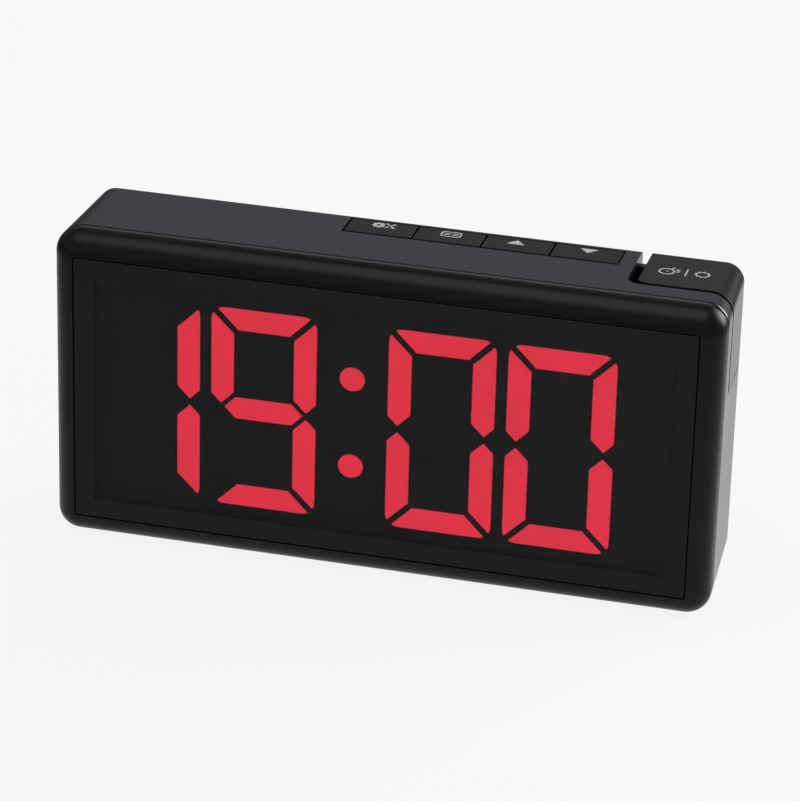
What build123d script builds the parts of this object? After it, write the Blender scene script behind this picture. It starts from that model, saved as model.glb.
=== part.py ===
from build123d import *

import math
import os

# Projection alarm clock. Millimetres, +Z up, the display faces -Y.
# The origin is under the middle of the clock with its hinge, on the surface it stands on.
# Depths in this file, such as PANEL_DEPTH, run backwards from the front face.

# ---- casing -------------------------------------------------------------------------------
WIDTH = 165.0
HEIGHT = 80.8  # without the feet
BODY_DEPTH = 35.8  # front face to rear face
BEZEL_DEPTH = 6.2
REAR_WALL = 1.8
TAPER = 2.6  # degrees, the casing narrows behind the bezel
WALL = 2.2
CORNER_R = 6.0
FRONT_EDGE_R = 5.8
HOUSING_EDGE_R = 1.5  # beside the seam behind the front frame
REAR_EDGE_R = 1.2
PARTING_GAP = 0.45
SKIRT_LENGTH = 3.2
SKIRT_WALL = 1.2
SKIRT_CLEARANCE = 0.12
SNAP_WIDTH = 8.0
SNAP_PROUD = 0.7
SNAP_HEIGHT = 1.2

# ---- feet ---------------------------------------------------------------------------------
FOOT_PROUD = 0.8
FOOT_R = 4.5
FOOT_RECESS = 1.0  # how deep a foot sits in the underside
FOOT_X = 66.0
FOOT_FRONT = 12.4
FOOT_REAR_MARGIN = 7.6

# ---- display ------------------------------------------------------------------------------
RIM = 5.5  # from the casing's outline to the panel recess
PANEL_THICKNESS = 2.0
PANEL_EDGE = 0.05
PANEL_GAP = 0.35
PANEL_CORNER_R = 0.5
LEDGE_THICKNESS = 1.4
LEDGE_SIDE = 3.5
LEDGE_TOP = 3.9
MASK_CLEARANCE = 0.3
MASK_FRONT = PANEL_THICKNESS + 0.15  # just behind the panel
MASK_DEPTH = 9.0  # rear face of the segment mask
BOARD_THICKNESS = 1.4
BOARD_CLEARANCE = 0.5
BOSS_R = 2.2
PILOT_R = 0.8
SCREW_HEAD_R = 2.1
SCREW_HEAD = 1.0

DIGIT_WIDTH = 26.35
DIGIT_HEIGHT = 52.75
DIGIT_PITCH = 29.25
COLON_SPACE = 44.2  # pitch of the two digits on either side of the colon
DISPLAY_X = -7.15  # the colon is left of the casing's middle
DISPLAY_DROP = 0.6  # the digits' middle below the casing's
BAR_WIDTH = 5.65
BAR_GAP = 1.2
CORNER_GAP = 1.6  # between two bars at a digit's corner
BAR_CORNER_R = 3.4
NODE_INSET = 2.5  # outer edge to the point where three bars meet
COLON_R = 3.12
COLON_SPACING = 23.25
PIPE_THICKNESS = 2.5
CHIP_WIDTH = 2.4
CHIP_HEIGHT = 1.6
CHIP_THICKNESS = 0.8

# ---- keys on the top ----------------------------------------------------------------------
KEY_NAMES = ("set_key", "display_key", "up_key", "down_key")
KEY_PITCH = 17.05
KEY_GAP = 0.5
KEYS_TO_SLOT = 3.8  # from the last key to the slot beside the head
KEY_LENGTH = 8.5  # front to back
KEY_CLEARANCE = 0.25  # between the keys and the rear cover
KEY_FRONT_GAP = 0.9
KEY_EDGE_R = 0.25
KEY_CAP = 1.6
KEY_FLANGE = 0.8
KEY_FLANGE_THICKNESS = 0.9
KEY_FLANGE_CLEARANCE = 0.15
KEY_TRAVEL = 0.4
KEY_POST_R = 1.9
SWITCH_SIZE = 6.0
SWITCH_HEIGHT = 3.2
PLUNGER_R = 1.6
PLUNGER_PROUD = 1.0
PLUNGER_BELOW = 0.6
PLUNGER_CLEARANCE = 0.2
KEY_BOARD_THICKNESS = 1.2
KEY_BOARD_SIDE = 1.2
KEY_BOARD_FRONT = 6.4

# ---- projector head -----------------------------------------------------------------------
HEAD_WIDTH = 24.1  # from the casing's right side
HEAD_FRONT = 15.05
HEAD_FLOOR_ANGLE = 5.0  # the underside rises from the hinge axis to the front
HEAD_WALL = 1.8
HEAD_CORNER_R = 2.4
HEAD_EDGE_R = 0.2
SLOT_WIDTH = 2.4
POCKET_GAP = 1.4  # front seam
POCKET_FLOOR_GAP = 0.35
POCKET_WALL = 2.0
POCKET_CORNER_R = 3.4
SLOT_STOP_DROP = 3.4  # the rear cover closes the slot up to this far under the top
HEAD_SCREW_R = 1.9
HEAD_BOSS_LENGTH = 5.0

HINGE_BELOW_TOP = 27.5  # hinge axis under the top
KNUCKLE_R = 3.3
KNUCKLE_CLEARANCE = 0.35
KNUCKLE_END_GAP = 0.3
KNUCKLE_OVERHANG = 8.4  # the cover's long knuckle starts this far left of the head
KNUCKLE_INSET = 4.8  # left side of the head to its own knuckle
KNUCKLE_LENGTH = 10.4
END_KNUCKLE_LENGTH = 4.4
TRUNNION_R = 2.2
TRUNNION_BORE_R = 1.4
TRUNNION_LENGTH = 11.5
HINGE_PIN_R = 1.25
HINGE_PIN_LENGTH = 9.0
PIVOT_FIT = 0.05
WASHER_THICKNESS = 0.3

LENS_INSET = 11.2  # left side of the head to the optical axis
LENS_ABOVE = 14.3  # optical axis over the hinge axis
RING_R = 6.4
RING_INNER_R = 4.75
RING_RECESS = 0.4
RING_LENGTH = 3.2
RING_FLANGE_R = 7.3
RING_FLANGE = 1.2
RING_CLEARANCE = 0.2
RING_GROOVES = 24
GROOVE_R = 0.35
CELL_R = 4.55
CELL_BORE_R = 3.7
CELL_LENGTH = 4.4
CELL_RECESS = 1.4
LENS_R = 3.65
LENS_THICKNESS = 2.2
LENS_EDGE = 0.9
HOLDER_DEPTH = 5.4
HOLDER_BEHIND = 8.5  # behind the head's front
HOLDER_BORE_R = 4.6
HOLDER_SIZE = 13.6
SLIDE_THICKNESS = 0.9
SLIDE_SIZE = 11.6
CONDENSER_R = 5.2
CONDENSER_THICKNESS = 1.6
LAMP_R = 2.5
LAMP_LENGTH = 2.6
LAMP_BOARD_THICKNESS = 1.0
LAMP_BOARD_WIDTH = 12.0
LAMP_BOARD_HEIGHT = 11.0
FOIL_THICKNESS = 0.2
CABLE_R = 0.9
CABLE_INSET = 2.4  # from the left end of the long knuckle
CABLE_BEND = 2.0

# ---- rear cover and electronics -----------------------------------------------------------
COVER_RIM = 1.2
COVER_RIM_DEPTH = 2.0
CASE_BOSS_R = 3.3
CASE_BOSS_LENGTH = 10.0
CASE_SCREW_R = 1.1
CASE_HEAD_R = 2.4
CASE_HEAD = 1.0
CASE_SCREW_LENGTH = 8.0
BOSS_INSET_X = 6.6
BOSS_INSET_Z = 7.4
UPPER_RIGHT_BOSS_ABOVE = 12.9  # over the hinge axis

CELL_X = -48.0
CELL_Z = 27.5
DOOR_MARGIN = 3.0  # door beyond the cell's rim
DOOR_THICKNESS = 1.3
DOOR_CLEARANCE = 0.25
LUG_PROUD = 1.3
LUG_THICKNESS = 0.9
LUG_ANGLE = 24.0
LUG_COUNT = 3
DOOR_TURN = 55.0
COIN_SLOT_LENGTH = 13.0
COIN_SLOT_WIDTH = 2.0
COIN_SLOT_DEPTH = 0.7
CUP_WALL = 1.2
CONTACT_ROOM = 2.75  # between the cup's floor and the cell
COIN_R = 10.0
COIN_THICKNESS = 3.2
COIN_EDGE = 0.4
CONTACT_THICKNESS = 0.3

SPEAKER_X = 22.0
SPEAKER_Z = 29.0
SPEAKER_R = 14.0
SPEAKER_THICKNESS = 5.6
SPEAKER_MAGNET_R = 7.5
SPEAKER_MAGNET = 3.0
GRILLE_PITCH = 4.0
GRILLE_HOLE_R = 1.0
GRILLE_R = 11.0
VENT_COUNT = 12
VENT_WIDTH = 1.5
VENT_HEIGHT = 9.0
VENT_PITCH = 5.0
VENT_X = -27.0
VENT_Z = 63.0

MAIN_BOARD_FRONT = 19.0
MAIN_BOARD_LEFT = -67.0
MAIN_BOARD_RIGHT = 48.0
MAIN_BOARD_BOTTOM = 8.5
MAIN_BOARD_TOP = 47.0
MAIN_BOARD_HOLE_INSET = 3.4
INLET_X = -16.0
INLET_Z = 14.5
INLET_WIDTH = 9.0
INLET_HEIGHT = 10.0
INLET_R = 3.1
INLET_DEPTH = 8.0
INLET_PIN_R = 1.0
RIBBON_WIDTH = 20.0
RIBBON_THICKNESS = 0.8
RIBBON_Z = 44.0

# ---- worked-out places --------------------------------------------------------------------
FRONT = -(BODY_DEPTH + KNUCKLE_R) / 2
MID_Z = FOOT_PROUD + HEIGHT / 2
DIGIT_Z = MID_Z - DISPLAY_DROP
REAR_PARTING = BODY_DEPTH - REAR_WALL
HOUSING_FRONT = BEZEL_DEPTH + PARTING_GAP
HEAD_LEFT = WIDTH / 2 - HEAD_WIDTH
FIXED_KNUCKLE_LEFT = HEAD_LEFT - KNUCKLE_OVERHANG
MOVING_KNUCKLE_LEFT = HEAD_LEFT + KNUCKLE_INSET
MOVING_KNUCKLE_RIGHT = MOVING_KNUCKLE_LEFT + KNUCKLE_LENGTH
FIXED_KNUCKLE_RIGHT = MOVING_KNUCKLE_RIGHT + END_KNUCKLE_LENGTH
CABLE_X = FIXED_KNUCKLE_LEFT + CABLE_INSET
LENS_X = HEAD_LEFT + LENS_INSET
HOLDER_FRONT = HEAD_FRONT + HOLDER_BEHIND
PIVOT_DEPTH = BODY_DEPTH
PIVOT_Z = FOOT_PROUD + HEIGHT - HINGE_BELOW_TOP
HEAD_BOTTOM = PIVOT_Z + (PIVOT_DEPTH - HEAD_FRONT) * math.tan(math.radians(HEAD_FLOOR_ANGLE))
LENS_Z = PIVOT_Z + LENS_ABOVE
SLOT_LEFT = HEAD_LEFT - SLOT_WIDTH
POCKET_FRONT = HEAD_FRONT - POCKET_GAP
KEYS_REAR = REAR_PARTING - KEY_CLEARANCE
KEYS_FRONT = KEYS_REAR - KEY_LENGTH
KEYS_RIGHT = SLOT_LEFT - KEYS_TO_SLOT
KEYS_LEFT = KEYS_RIGHT - len(KEY_NAMES) * KEY_PITCH
DOOR_R = COIN_R + DOOR_MARGIN
OVERSIZE = 200.0  # longer than anything here, for cutting tools
EPS = 0.5  # how far a cutting tool starts outside the wall it cuts


def span(x, depth, z):
    """A box between pairs of limits."""
    size = [high - low for low, high in (x, depth, z)]
    middle = [(low + high) / 2 for low, high in (x, depth, z)]
    return Pos(middle[0], FRONT + middle[1], middle[2]) * Box(*size)


def rod_y(radius, x, z, start, end):
    """A round rod that runs backwards between two depths."""
    return Pos(x, FRONT + (start + end) / 2, z) * Rot(90, 0, 0) * Cylinder(radius, end - start)


def rod_x(radius, depth, z, left, right):
    """A round rod across the clock."""
    return Pos((left + right) / 2, FRONT + depth, z) * Rot(0, 90, 0) * Cylinder(radius, right - left)


def rod_z(radius, x, depth, low, high):
    """An upright round rod."""
    return Pos(x, FRONT + depth, (low + high) / 2) * Cylinder(radius, high - low)


def facing(x, depth, z):
    """A drawing plane that faces the viewer: its own X and Y are the clock's X and Z."""
    return Plane(origin=(x, FRONT + depth, z), x_dir=(1, 0, 0), z_dir=(0, -1, 0))


def sideways(x):
    """A drawing plane seen from the right: its own X runs backwards and its Y is the clock's Z."""
    return Plane(origin=(x, FRONT, 0), x_dir=(0, 1, 0), z_dir=(1, 0, 0))


def slab(width, height, radius, start, end):
    """A plate with rounded corners, centred on the casing, between two depths."""
    outline = facing(0, start, MID_Z) * RectangleRounded(width, height, radius)
    return extrude(outline, amount=start - end)


def inset_at(depth):
    """How far the taper has drawn the casing's outline in at a depth."""
    return (depth - BEZEL_DEPTH) * math.tan(math.radians(TAPER))


def tapered(start, end, wall):
    """The casing's tapering volume between two depths, drawn in all round by a wall."""
    sections = []
    for depth in (start, end):
        inset = inset_at(depth) + wall
        radius = max(CORNER_R - inset, 1.0)
        outline = RectangleRounded(WIDTH - 2 * inset, HEIGHT - 2 * inset, radius)
        sections.append(facing(0, depth, MID_Z) * outline)
    return loft(sections, ruled=True)


def side_profile(points, left, right):
    """A prism across the clock from points (depth, z) seen from the side."""
    outline = make_face(Polyline(*points, close=True))
    return extrude(sideways(left) * outline, amount=right - left)


def group(shapes):
    """Separate solids in one node."""
    return Compound(children=[part for shape in shapes for part in shape.solids()])


def save(shape, node):
    solids = shape.solids()
    export_step(solids[0] if len(solids) == 1 else Compound(children=solids), f"parts/{node}.step")


# ---- shared volumes -----------------------------------------------------------------------
def casing_envelope():
    """The outside of the casing behind the bezel, down to its rounded rear edge."""
    block = tapered(HOUSING_FRONT, BODY_DEPTH, 0)
    return fillet(block.faces().sort_by(Axis.Y)[-1].edges(), REAR_EDGE_R)


ENVELOPE = casing_envelope()


def floor_height(depth, drop):
    """Height of the head's sloping underside at a depth, or of a plane below it."""
    slope = math.radians(HEAD_FLOOR_ANGLE)
    return PIVOT_Z + (PIVOT_DEPTH - depth) * math.tan(slope) - drop / math.cos(slope)


def head_volume(left, front, drop, rear):
    """The corner block of the head, or the pocket for it: open to the top, right and rear."""
    points = [
        (front, floor_height(front, drop)),
        (rear, floor_height(rear, drop)),
        (rear, OVERSIZE),
        (front, OVERSIZE),
    ]
    return side_profile(points, left, WIDTH)


def rounded_head_volume(left, front, drop, rear, radius):
    """The same block with its upright left front edge rounded."""
    block = head_volume(left, front, drop, rear)
    upright = block.edges().filter_by(Axis.Z).sort_by(Axis.X)[:2].sort_by(Axis.Y)[0]
    return fillet(upright, radius)


POCKET = rounded_head_volume(
    SLOT_LEFT, POCKET_FRONT, POCKET_FLOOR_GAP, OVERSIZE, POCKET_CORNER_R
)
POCKET_LINER = rounded_head_volume(
    SLOT_LEFT - POCKET_WALL,
    POCKET_FRONT - POCKET_WALL,
    POCKET_FLOOR_GAP + POCKET_WALL,
    OVERSIZE,
    POCKET_CORNER_R,
)


def knuckle_relief(left, right):
    """Room for the hinge's knuckles between two places, all round the hinge axis."""
    radius = KNUCKLE_R + KNUCKLE_CLEARANCE
    ends = (left - KNUCKLE_END_GAP, right + KNUCKLE_END_GAP)
    return rod_x(radius, PIVOT_DEPTH, PIVOT_Z, *ends)


def foot_places():
    """Middle of each foot: x and depth."""
    rear = BODY_DEPTH - FOOT_REAR_MARGIN
    return [(x, depth) for depth in (FOOT_FRONT, rear) for x in (-FOOT_X, FOOT_X)]


def foot_top(depth):
    """Height of a foot's seat in the underside, which rises towards the rear."""
    return FOOT_PROUD + inset_at(depth) + FOOT_RECESS


def case_screw_places():
    """Middle of each rear cover screw: x and z."""
    x = WIDTH / 2 - BOSS_INSET_X
    low = FOOT_PROUD + BOSS_INSET_Z
    high = FOOT_PROUD + HEIGHT - BOSS_INSET_Z
    upper_right = SLOT_LEFT - POCKET_WALL - CASE_BOSS_R + EPS
    return [(-x, low), (x, low), (-x, high), (upper_right, PIVOT_Z + UPPER_RIGHT_BOSS_ABOVE)]


def snap_places():
    """Middle of each snap of the bezel: x and z, and whether it lies on the top or bottom."""
    half_height = HEIGHT / 2 - WALL
    places = [(x, MID_Z + side * half_height) for x in (-45, 0, 45) for side in (-1, 1)]
    return [(x, z) for x, z in places if z < MID_Z or x < SLOT_LEFT - SNAP_WIDTH]


# ---- casing -------------------------------------------------------------------------------
SNAP_DEPTH = HOUSING_FRONT + SKIRT_LENGTH - SNAP_HEIGHT / 2 - 0.4


def board_boss_places():
    """Middle of each boss for the display board: x and z."""
    x = WIDTH / 2 - RIM - 0.9
    z = HEIGHT / 2 - RIM - BOSS_R - 5.0
    return [(side * x, MID_Z + up * z) for side in (-1, 1) for up in (-1, 1)]


def snaps(clearance):
    """The bezel's snap ridges, or the grooves for them."""
    ridges = []
    for x, z in snap_places():
        half = SNAP_WIDTH / 2 + clearance
        tall = SNAP_HEIGHT / 2 + clearance
        reach = SNAP_PROUD + clearance - SKIRT_CLEARANCE
        back = SKIRT_CLEARANCE + SKIRT_WALL / 2
        low, high = (z - reach, z + back) if z < MID_Z else (z - back, z + reach)
        ridges.append(span((x - half, x + half), (SNAP_DEPTH - tall, SNAP_DEPTH + tall), (low, high)))
    return ridges


def front_bezel():
    frame = slab(WIDTH, HEIGHT, CORNER_R, 0, BEZEL_DEPTH)
    frame = fillet(frame.faces().sort_by(Axis.Y)[0].edges(), FRONT_EDGE_R)
    shoulder = slab(WIDTH - WALL, HEIGHT - WALL, CORNER_R - WALL / 2, BEZEL_DEPTH, HOUSING_FRONT)
    skirt_end = HOUSING_FRONT + SKIRT_LENGTH
    skirt_inset = 2 * (WALL + SKIRT_CLEARANCE + inset_at(skirt_end))
    skirt = slab(WIDTH - skirt_inset, HEIGHT - skirt_inset, CORNER_R - WALL, BEZEL_DEPTH, skirt_end)
    frame = frame + shoulder + skirt
    inner = skirt_inset + 2 * SKIRT_WALL
    ledge_rear = PANEL_THICKNESS + LEDGE_THICKNESS
    frame -= slab(WIDTH - inner, HEIGHT - inner, CORNER_R - WALL, ledge_rear, skirt_end + EPS)
    frame -= slab(WIDTH - 2 * RIM, HEIGHT - 2 * RIM, PANEL_CORNER_R + PANEL_GAP, -EPS, PANEL_THICKNESS)
    window_width = WIDTH - 2 * (RIM + LEDGE_SIDE)
    window_height = HEIGHT - 2 * (RIM + LEDGE_TOP)
    frame -= slab(window_width, window_height, PANEL_CORNER_R, -EPS, ledge_rear + EPS)
    for x, z in board_boss_places():
        frame += rod_y(BOSS_R, x, z, ledge_rear - EPS, MASK_DEPTH)
        frame -= rod_y(PILOT_R, x, z, ledge_rear, MASK_DEPTH + EPS)
    for ridge in snaps(0):
        frame += ridge
    return frame


def display_panel():
    inset = 2 * (RIM + PANEL_GAP)
    panel = slab(WIDTH - inset, HEIGHT - inset, PANEL_CORNER_R, 0, PANEL_THICKNESS)
    return chamfer(panel.faces().sort_by(Axis.Y)[0].edges(), PANEL_EDGE)


def key_opening():
    """The one long opening for the row of keys, open to the rear cover."""
    x = (KEYS_LEFT - KEY_GAP, KEYS_RIGHT)
    return span(x, (KEYS_FRONT - KEY_FRONT_GAP, REAR_PARTING + EPS), (MID_Z, OVERSIZE))


def key_board_limits():
    """Limits of the key board in x and depth."""
    x = (KEYS_LEFT - KEY_BOARD_SIDE, KEYS_RIGHT - KEY_GAP + KEY_BOARD_SIDE)
    return x, (KEYS_FRONT - KEY_BOARD_FRONT, KEYS_REAR - KEY_FLANGE)


def key_levels():
    """Heights of the key row: flange top, post bottom, switch top, board top."""
    inner_top = MID_Z + HEIGHT / 2 - inset_at(REAR_PARTING) - WALL
    flange_top = inner_top - KEY_FLANGE_CLEARANCE
    post_end = flange_top - KEY_FLANGE_THICKNESS - PLUNGER_PROUD
    switch_top = post_end - PLUNGER_PROUD
    return flange_top, post_end, switch_top, switch_top - SWITCH_HEIGHT


def key_board_screw_places():
    """Middle of each key board screw: x and depth."""
    (left, right), (near, _) = key_board_limits()
    return [(x, near + BOSS_R) for x in (left + BOSS_R, right - BOSS_R)]


def main_housing():
    solid = tapered(HOUSING_FRONT, REAR_PARTING, 0)
    solid = fillet(solid.faces().sort_by(Axis.Y)[0].edges(), HOUSING_EDGE_R)
    shell = solid - tapered(HOUSING_FRONT - EPS, REAR_PARTING + EPS, WALL)
    shell += POCKET_LINER & solid
    rear_end = (REAR_PARTING - CASE_BOSS_LENGTH, REAR_PARTING)
    for x, z in case_screw_places():
        shell += rod_y(CASE_BOSS_R, x, z, *rear_end) & solid
    board_top = key_levels()[3]
    roof = MID_Z + HEIGHT / 2 - WALL
    for x, depth in key_board_screw_places():
        shell += rod_z(BOSS_R, x, depth, board_top, roof)
    shell -= POCKET
    shell -= knuckle_relief(FIXED_KNUCKLE_LEFT, FIXED_KNUCKLE_RIGHT)
    shell -= key_opening()
    for ridge in snaps(SKIRT_CLEARANCE):
        shell -= ridge
    for x, z in case_screw_places():
        shell -= rod_y(CASE_SCREW_R, x, z, rear_end[0] - EPS, rear_end[1] + EPS)
    for x, depth in key_board_screw_places():
        shell -= rod_z(PILOT_R, x, depth, board_top - EPS, board_top + 3 * BOSS_R)
    for x, depth in foot_places():
        shell -= rod_z(FOOT_R, x, depth, -EPS, foot_top(depth))
    return shell


def rubber_feet():
    feet = []
    for x, depth in foot_places():
        foot = rod_z(FOOT_R, x, depth, 0, foot_top(depth))
        feet.append(chamfer(foot.faces().sort_by(Axis.Z)[0].edges(), 0.4))
    return group(feet)


# ---- rear cover ---------------------------------------------------------------------------
DOOR_OUTER = BODY_DEPTH
DOOR_INNER = BODY_DEPTH - DOOR_THICKNESS
LUG_REAR = REAR_PARTING - DOOR_CLEARANCE
LUG_FRONT = LUG_REAR - LUG_THICKNESS
COIN_REAR = LUG_FRONT - 0.3
COIN_FRONT = COIN_REAR - COIN_THICKNESS
CUP_FLOOR = COIN_FRONT - CONTACT_ROOM


def lug_sectors(radius, start, end, extra_angle, turn):
    """Three sectors round the battery door's middle, as wide as a lug or a lug's notch."""
    sectors = []
    half = math.radians(LUG_ANGLE / 2 + extra_angle)
    reach = 2 * radius
    for index in range(LUG_COUNT):
        tip = [(0, 0), (reach, -reach * math.tan(half)), (reach, reach * math.tan(half))]
        angle = 360 / LUG_COUNT * index + turn
        wedge = Rot(0, 0, angle) * make_face(Polyline(*tip, close=True))
        face = facing(CELL_X, start, CELL_Z) * (wedge & Circle(radius))
        sectors.append(extrude(face, amount=start - end))
    return sectors


def rear_cover():
    cover = ENVELOPE & span((-WIDTH, WIDTH), (REAR_PARTING, BODY_DEPTH), (0, OVERSIZE))
    rim_start = REAR_PARTING - COVER_RIM_DEPTH
    rim = tapered(rim_start, REAR_PARTING, WALL + SKIRT_CLEARANCE)
    rim -= tapered(rim_start - EPS, REAR_PARTING + EPS, WALL + SKIRT_CLEARANCE + COVER_RIM)
    liner_bottom = floor_height(REAR_PARTING, POCKET_FLOOR_GAP + POCKET_WALL)
    keep_out = span(
        (KEYS_LEFT - 2 * KEY_FLANGE, WIDTH), (0, REAR_PARTING), (liner_bottom - EPS, OVERSIZE)
    )
    rim -= keep_out
    for x, z in case_screw_places():
        rim -= rod_y(CASE_BOSS_R + SKIRT_CLEARANCE, x, z, 0, REAR_PARTING)
    cover += rim
    cup_r = DOOR_R + LUG_PROUD + 2 * DOOR_CLEARANCE
    cover += rod_y(cup_r + CUP_WALL, CELL_X, CELL_Z, CUP_FLOOR - CUP_WALL, REAR_PARTING)
    for x, z in main_board_hole_places():
        cover += rod_y(BOSS_R, x, z, MAIN_BOARD_FRONT + BOARD_THICKNESS, REAR_PARTING)
    cover -= rod_y(cup_r, CELL_X, CELL_Z, CUP_FLOOR, REAR_PARTING)
    cover -= rod_y(DOOR_R + DOOR_CLEARANCE, CELL_X, CELL_Z, REAR_PARTING - EPS, BODY_DEPTH + EPS)
    notch_r = DOOR_R + LUG_PROUD + DOOR_CLEARANCE
    for notch in lug_sectors(notch_r, REAR_PARTING - EPS, BODY_DEPTH + EPS, 2.0, DOOR_TURN):
        cover -= notch
    for x, z in main_board_hole_places():
        start = MAIN_BOARD_FRONT + BOARD_THICKNESS
        cover -= rod_y(PILOT_R, x, z, start - EPS, start + 3 * BOSS_R)
    for x, z in case_screw_places():
        cover -= rod_y(CASE_SCREW_R + SKIRT_CLEARANCE, x, z, REAR_PARTING - EPS, BODY_DEPTH + EPS)
        cover -= rod_y(CASE_HEAD_R + SKIRT_CLEARANCE, x, z, BODY_DEPTH - CASE_HEAD, BODY_DEPTH + EPS)
    for hole in grille_holes() + vent_slots():
        cover -= hole
    cover -= rod_y(INLET_R, INLET_X, INLET_Z, REAR_PARTING - EPS, BODY_DEPTH + EPS)
    pocket_clear = head_volume(HEAD_LEFT - KEY_CLEARANCE, 0, POCKET_FLOOR_GAP, OVERSIZE)
    slot_top = MID_Z + HEIGHT / 2 - inset_at(BODY_DEPTH) - SLOT_STOP_DROP
    slot_clear = span((SLOT_LEFT, WIDTH), (0, OVERSIZE), (slot_top, OVERSIZE))
    cover -= pocket_clear
    cover -= slot_clear
    return add_fixed_knuckles(cover)


def add_fixed_knuckles(cover):
    """The cover's two hinge knuckles: a long hollow one at the left and a short one at the right."""
    ends = [
        (FIXED_KNUCKLE_LEFT, MOVING_KNUCKLE_LEFT - KNUCKLE_END_GAP),
        (MOVING_KNUCKLE_RIGHT + KNUCKLE_END_GAP, FIXED_KNUCKLE_RIGHT),
    ]
    web_reach = KNUCKLE_R * 2.2
    for left, right in ends:
        cover += rod_x(KNUCKLE_R, PIVOT_DEPTH, PIVOT_Z, left, right)
        web = [
            (REAR_PARTING, PIVOT_Z - 1.4),
            (PIVOT_DEPTH, PIVOT_Z - 1.4),
            (PIVOT_DEPTH + KNUCKLE_R * 0.8, PIVOT_Z - KNUCKLE_R * 0.6),
            (PIVOT_DEPTH - EPS, PIVOT_Z - web_reach),
            (REAR_PARTING, PIVOT_Z - web_reach),
        ]
        cover += side_profile(web, left, right)
    cover -= knuckle_relief(MOVING_KNUCKLE_LEFT, MOVING_KNUCKLE_RIGHT)
    cover -= rod_x(TRUNNION_R, PIVOT_DEPTH, PIVOT_Z, FIXED_KNUCKLE_LEFT + 1.0, MOVING_KNUCKLE_LEFT)
    cover -= rod_x(HINGE_PIN_R, PIVOT_DEPTH, PIVOT_Z, MOVING_KNUCKLE_RIGHT, FIXED_KNUCKLE_RIGHT - 1.0)
    knuckle_front = PIVOT_DEPTH - KNUCKLE_R - EPS
    cable_hole = rod_y(TRUNNION_BORE_R + 0.3, CABLE_X, PIVOT_Z, knuckle_front, PIVOT_DEPTH)
    return cover - cable_hole


def grille_holes():
    """Round speaker holes on a square grid, inside the grille's circle."""
    steps = range(-int(GRILLE_R // GRILLE_PITCH), int(GRILLE_R // GRILLE_PITCH) + 1)
    holes = []
    for column in steps:
        for row in steps:
            x, z = column * GRILLE_PITCH, row * GRILLE_PITCH
            if math.hypot(x, z) <= GRILLE_R:
                place = (SPEAKER_X + x, SPEAKER_Z + z)
                holes.append(rod_y(GRILLE_HOLE_R, *place, REAR_PARTING - EPS, BODY_DEPTH + EPS))
    return holes


def vent_slots():
    """A row of upright cooling slots."""
    slots = []
    for index in range(VENT_COUNT):
        x = VENT_X + (index - (VENT_COUNT - 1) / 2) * VENT_PITCH
        upright = Rot(0, 0, 90) * SlotOverall(VENT_HEIGHT, VENT_WIDTH)
        outline = facing(x, REAR_PARTING - EPS, VENT_Z) * upright
        slots.append(extrude(outline, amount=-(REAR_WALL + 2 * EPS)))
    return slots


def housing_screws():
    screws = []
    for x, z in case_screw_places():
        seat = BODY_DEPTH - CASE_HEAD
        screw = rod_y(CASE_HEAD_R, x, z, seat, BODY_DEPTH - 0.1)
        screw += rod_y(CASE_SCREW_R, x, z, seat - CASE_SCREW_LENGTH, seat)
        for width, height in ((2.6, 0.7), (0.7, 2.6)):
            cross = ((x - width / 2, x + width / 2), (z - height / 2, z + height / 2))
            screw -= span(cross[0], (BODY_DEPTH - 0.7, BODY_DEPTH), cross[1])
        screws.append(screw)
    return group(screws)


def battery_door():
    door = rod_y(DOOR_R, CELL_X, CELL_Z, DOOR_INNER, DOOR_OUTER)
    door = chamfer(door.faces().sort_by(Axis.Y)[-1].edges(), 0.2)
    door += rod_y(DOOR_R - 1.0, CELL_X, CELL_Z, LUG_FRONT, DOOR_INNER)
    for lug in lug_sectors(DOOR_R + LUG_PROUD, LUG_FRONT, LUG_REAR, 0, 0):
        door += lug
    slot = ((CELL_X - COIN_SLOT_LENGTH / 2, CELL_X + COIN_SLOT_LENGTH / 2),)
    slot += ((CELL_Z - COIN_SLOT_WIDTH / 2, CELL_Z + COIN_SLOT_WIDTH / 2),)
    return door - span(slot[0], (DOOR_OUTER - COIN_SLOT_DEPTH, DOOR_OUTER + EPS), slot[1])


def coin_cell():
    cell = rod_y(COIN_R, CELL_X, CELL_Z, COIN_FRONT + 0.6, COIN_REAR)
    cell += rod_y(COIN_R - 1.2, CELL_X, CELL_Z, COIN_FRONT, COIN_FRONT + 0.6)
    return fillet(cell.faces().sort_by(Axis.Y)[-1].edges(), COIN_EDGE)


def cell_contact_minus():
    """A leaf that presses on the cell's small face from the cup's floor."""
    sheet = CUP_FLOOR + CONTACT_THICKNESS
    foot = span((CELL_X - 6, CELL_X - 2), (CUP_FLOOR, sheet), (CELL_Z - 2, CELL_Z + 2))
    rise = [
        (CUP_FLOOR, CELL_X - 2.3),
        (sheet, CELL_X - 2.3),
        (COIN_FRONT, CELL_X + 3.0),
        (COIN_FRONT, CELL_X + 4.0),
        (COIN_FRONT - CONTACT_THICKNESS, CELL_X + 4.0),
    ]
    plane = Plane(origin=(0, FRONT, CELL_Z - 2), x_dir=(0, 1, 0), z_dir=(0, 0, -1))
    leaf = extrude(plane * make_face(Polyline(*rise, close=True)), amount=-4.0)
    return foot + leaf


def cell_contact_plus():
    """A tongue at the side of the cup that touches the cell's rim."""
    left = CELL_X + COIN_R
    z = (CELL_Z - 2.5, CELL_Z + 2.5)
    tongue = span((left, left + CONTACT_THICKNESS), (CUP_FLOOR, COIN_REAR), z)
    return tongue + span((left, left + 3.0), (CUP_FLOOR, CUP_FLOOR + CONTACT_THICKNESS), z)


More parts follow.
